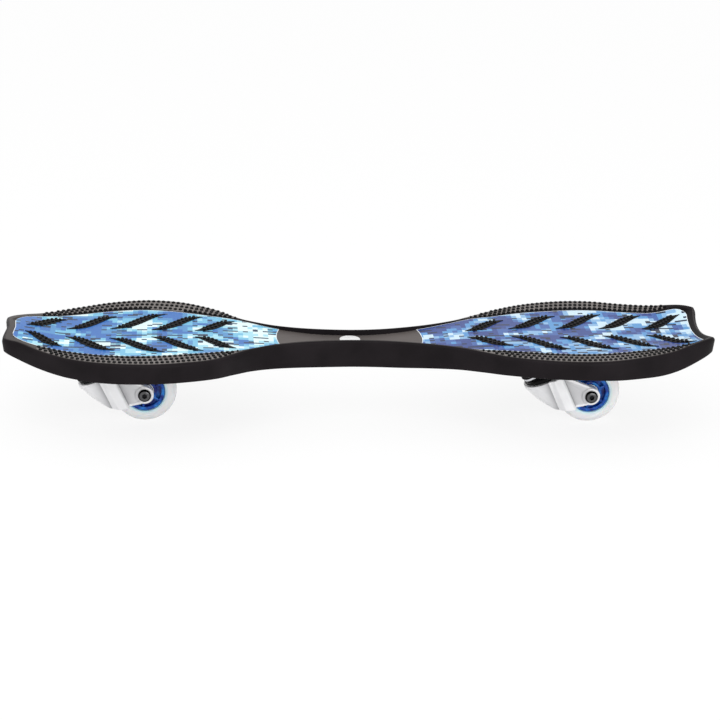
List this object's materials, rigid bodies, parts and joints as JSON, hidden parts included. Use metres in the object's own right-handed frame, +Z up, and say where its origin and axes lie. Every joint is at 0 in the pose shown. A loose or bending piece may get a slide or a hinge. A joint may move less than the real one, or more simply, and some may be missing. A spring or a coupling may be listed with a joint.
{
  "type": "caster board",
  "caption": "Two-wheeled caster board: ribbed moulded deck with two wide lobes on a twisting waist, printed films and grip pads, and an inclined swivel caster under each lobe.",
  "frame": {"origin": "on the ground, under the middle of the board's bounding box, with the wheels standing on z = 0", "axes": "+X points along the board to its raised tail, +Y to the side of the axle nuts, +Z up"},
  "size_m": [0.838, 0.2416, 0.1285],
  "materials": {
    "deck_plastic": "moulded polypropylene, satin black, fine grain",
    "front_film": "printed film, block camouflage in white, cyan and blue",
    "rear_film": "printed film, block camouflage in white, blue and violet blue",
    "badge": "plain white round badge",
    "cast_alloy": "die-cast, bright satin silver",
    "zinc_steel": "zinc-plated pressed steel",
    "bearing_steel": "ground bearing steel",
    "black_steel": "black oxide, semi-gloss",
    "black_plastic": "moulded, satin black",
    "urethane": "cast urethane, translucent, faintly blue, glossy",
    "hub_plastic": "moulded nylon, blue, glossy"
  },
  "bodies": {
    "front_deck": {"deck_front_half": "deck_plastic", "front_graphic_film": "front_film", "centre_badge": "badge", "front_mount_plate": "zinc_steel", "front_plate_screw_1": "black_steel", "front_plate_screw_2": "black_steel", "front_plate_screw_3": "black_steel", "front_plate_screw_4": "black_steel", "front_kingpin": "zinc_steel", "front_kingpin_nut": "zinc_steel", "front_upper_race": "zinc_steel"},
    "rear_deck": {"deck_rear_half": "deck_plastic", "rear_graphic_film": "rear_film", "rear_mount_plate": "zinc_steel", "rear_plate_screw_1": "black_steel", "rear_plate_screw_2": "black_steel", "rear_plate_screw_3": "black_steel", "rear_plate_screw_4": "black_steel", "rear_kingpin": "zinc_steel", "rear_kingpin_nut": "zinc_steel", "rear_upper_race": "zinc_steel"},
    "front_fork": {"front_caster_fork": "cast_alloy", "front_lower_race": "zinc_steel", "front_swivel_ball_ring": "bearing_steel", "front_dust_ring": "black_plastic", "front_axle_bolt": "black_steel", "front_axle_nut": "zinc_steel", "front_axle_spacer_near": "zinc_steel", "front_axle_spacer_far": "zinc_steel", "front_bearing_inner_near": "bearing_steel", "front_bearing_inner_far": "bearing_steel", "front_bearing_spacer": "zinc_steel"},
    "front_wheel": {"front_wheel_tyre": "urethane", "front_wheel_hub": "hub_plastic", "front_bearing_outer_near": "bearing_steel", "front_bearing_outer_far": "bearing_steel", "front_bearing_balls_near": "bearing_steel", "front_bearing_balls_far": "bearing_steel"},
    "rear_fork": {"rear_caster_fork": "cast_alloy", "rear_lower_race": "zinc_steel", "rear_swivel_ball_ring": "bearing_steel", "rear_dust_ring": "black_plastic", "rear_axle_bolt": "black_steel", "rear_axle_nut": "zinc_steel", "rear_axle_spacer_near": "zinc_steel", "rear_axle_spacer_far": "zinc_steel", "rear_bearing_inner_near": "bearing_steel", "rear_bearing_inner_far": "bearing_steel", "rear_bearing_spacer": "zinc_steel"},
    "rear_wheel": {"rear_wheel_tyre": "urethane", "rear_wheel_hub": "hub_plastic", "rear_bearing_outer_near": "bearing_steel", "rear_bearing_outer_far": "bearing_steel", "rear_bearing_balls_near": "bearing_steel", "rear_bearing_balls_far": "bearing_steel"}
  },
  "joints": [
    {"name": "deck_twist", "type": "hinge", "parent": "front_deck", "child": "rear_deck", "pos_m": [0.0025, 0, 0.09], "axis": [1, 0, 0], "range_deg": [-15, 15], "stiffness_Nm_per_rad": 40},
    {"name": "front_caster_swivel", "type": "hinge", "parent": "front_deck", "child": "front_fork", "pos_m": [-0.29257, 0, 0.02025], "axis": [-0.4226, 0, 0.9063], "continuous": true},
    {"name": "front_wheel_spin", "type": "hinge", "parent": "front_fork", "child": "front_wheel", "pos_m": [-0.2545, 0, 0.038], "axis": [0, 1, 0], "continuous": true},
    {"name": "rear_caster_swivel", "type": "hinge", "parent": "rear_deck", "child": "rear_fork", "pos_m": [0.24394, 0, 0.02025], "axis": [-0.4226, 0, 0.9063], "continuous": true},
    {"name": "rear_wheel_spin", "type": "hinge", "parent": "rear_fork", "child": "rear_wheel", "pos_m": [0.282, 0, 0.038], "axis": [0, 1, 0], "continuous": true}
  ]
}
